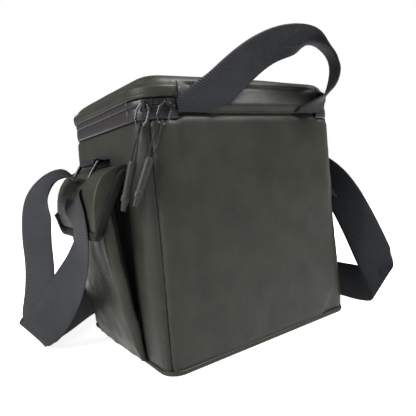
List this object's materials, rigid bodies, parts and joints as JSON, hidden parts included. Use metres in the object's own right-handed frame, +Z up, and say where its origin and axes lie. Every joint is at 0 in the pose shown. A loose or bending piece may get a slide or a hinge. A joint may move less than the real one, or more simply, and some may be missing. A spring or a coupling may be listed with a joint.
{
  "type": "camera bag",
  "caption": "Padded camera bag with a zipped hinged lid, two capped side pockets, a webbing carry handle and a ringed, adjustable shoulder strap.",
  "frame": {"origin": "middle of the base, on the floor", "axes": "+Z up, -Y out of the large plain panel that lies against the wearer, pockets on -X and +X"},
  "size_m": [0.4372, 0.3597, 0.3545],
  "materials": {
    "shell_fabric": "coated twill, satin",
    "pocket_fabric": "coated twill, satin",
    "binding": "grosgrain, matte",
    "foam": "closed-cell foam",
    "stiff_board": "sheet, matte",
    "lining": "brushed knit, matte",
    "zipper_tape": "film-coated tape, satin",
    "zipper_teeth": "nylon coil",
    "black_metal": "black lacquer, gloss",
    "pull_cord": "braided, matte",
    "grip_plastic": "moulded, matte",
    "ring_metal": "black nickel, polished",
    "webbing": "ribbed polyester webbing",
    "hook_and_loop": "hook and loop"
  },
  "bodies": {
    "bag_body": {"back_padding": "foam", "back_panel": "shell_fabric", "base_binding": "binding", "base_board": "stiff_board", "base_padding": "foam", "base_panel": "shell_fabric", "front_padding": "foam", "front_panel": "shell_fabric", "hinge_panel_lower": "shell_fabric", "left_padding": "foam", "left_panel": "shell_fabric", "left_pocket": "pocket_fabric", "left_pocket_hem": "binding", "left_zipper_end": "zipper_tape", "liner": "lining", "loop_patches": "hook_and_loop", "lower_zipper_tape": "zipper_tape", "lower_zipper_teeth": "zipper_teeth", "right_padding": "foam", "right_panel": "shell_fabric", "right_pocket": "pocket_fabric", "right_pocket_hem": "binding", "right_zipper_end": "zipper_tape", "sewn_webbing_ends": "webbing", "strap_adjuster": "grip_plastic", "strap_inner_layer": "webbing", "strap_long_run": "webbing", "strap_outer_layer": "webbing"},
    "lid": {"lid_top_panel": "shell_fabric", "lid_side_band": "shell_fabric", "lid_lip": "binding", "lid_edge_piping": "binding", "lid_padding": "foam", "lid_liner": "lining", "hinge_panel_upper": "shell_fabric", "upper_zipper_tape": "zipper_tape", "upper_zipper_teeth": "zipper_teeth"},
    "handle": {"carry_handle": "webbing"},
    "left_flap": {"left_flap": "pocket_fabric", "left_flap_binding": "binding", "left_hook_patch": "hook_and_loop"},
    "right_flap": {"right_flap": "pocket_fabric", "right_flap_binding": "binding", "right_hook_patch": "hook_and_loop"},
    "left_ring": {"left_tab_loop": "webbing", "left_strap_ring": "ring_metal", "left_strap_top": "webbing"},
    "right_ring": {"right_tab_loop": "webbing", "right_strap_ring": "ring_metal", "right_strap_top": "webbing"},
    "side_slider": {"side_slider": "black_metal"},
    "back_slider": {"back_slider": "black_metal"},
    "side_pull": {"side_pull_loop": "black_metal", "side_pull_cord": "pull_cord", "side_pull_grip": "grip_plastic"},
    "back_pull": {"back_pull_loop": "black_metal", "back_pull_cord": "pull_cord", "back_pull_grip": "grip_plastic"},
    "left_divider": {"left_divider": "lining"},
    "right_divider": {"right_divider": "lining"}
  },
  "joints": [
    {"name": "lid_open", "type": "hinge", "parent": "bag_body", "child": "lid", "pos_m": [0, -0.1115, 0.258], "axis": [1, 0, 0], "range_deg": [0, 100]},
    {"name": "handle_swing", "type": "hinge", "parent": "lid", "child": "handle", "pos_m": [0, -0.1115, 0.258], "axis": [1, 0, 0], "range_deg": [0, 10]},
    {"name": "left_flap_open", "type": "hinge", "parent": "bag_body", "child": "left_flap", "pos_m": [-0.1363, 0, 0.214], "axis": [0, 1, 0], "range_deg": [0, 60]},
    {"name": "left_ring_lift", "type": "hinge", "parent": "bag_body", "child": "left_ring", "pos_m": [-0.1363, 0, 0.2205], "axis": [0, 1, 0], "range_deg": [0, 60]},
    {"name": "right_flap_open", "type": "hinge", "parent": "bag_body", "child": "right_flap", "pos_m": [0.1363, 0, 0.214], "axis": [0, -1, 0], "range_deg": [0, 60]},
    {"name": "right_ring_lift", "type": "hinge", "parent": "bag_body", "child": "right_ring", "pos_m": [0.1363, 0, 0.2205], "axis": [0, -1, 0], "range_deg": [0, 60]},
    {"name": "side_slider_run", "type": "hinge", "parent": "bag_body", "child": "side_slider", "pos_m": [-0.106, -0.08, 0.2658], "axis": [0, 0, -1], "range_deg": [0, 12]},
    {"name": "back_slider_run", "type": "hinge", "parent": "bag_body", "child": "back_slider", "pos_m": [-0.106, -0.08, 0.2658], "axis": [0, 0, -1], "range_deg": [0, 3]},
    {"name": "side_pull_swing", "type": "hinge", "parent": "side_slider", "child": "side_pull", "pos_m": [-0.13101, -0.10332, 0.2658], "axis": [-0.6389, 0.7138, 0.2868], "range_deg": [0, 40]},
    {"name": "back_pull_swing", "type": "hinge", "parent": "back_slider", "child": "back_pull", "pos_m": [-0.11194, -0.11368, 0.2658], "axis": [-0.9104, 0.1383, 0.3899], "range_deg": [0, 40]},
    {"name": "left_divider_slide", "type": "slide", "parent": "bag_body", "child": "left_divider", "axis": [1, 0, 0], "range_m": [-0.03, 0.025]},
    {"name": "right_divider_slide", "type": "slide", "parent": "bag_body", "child": "right_divider", "axis": [1, 0, 0], "range_m": [-0.025, 0.03]}
  ],
  "couplings": [
    {"joint": "left_ring_lift", "follows": "left_flap_open", "ratio": 1},
    {"joint": "right_ring_lift", "follows": "right_flap_open", "ratio": 1}
  ]
}
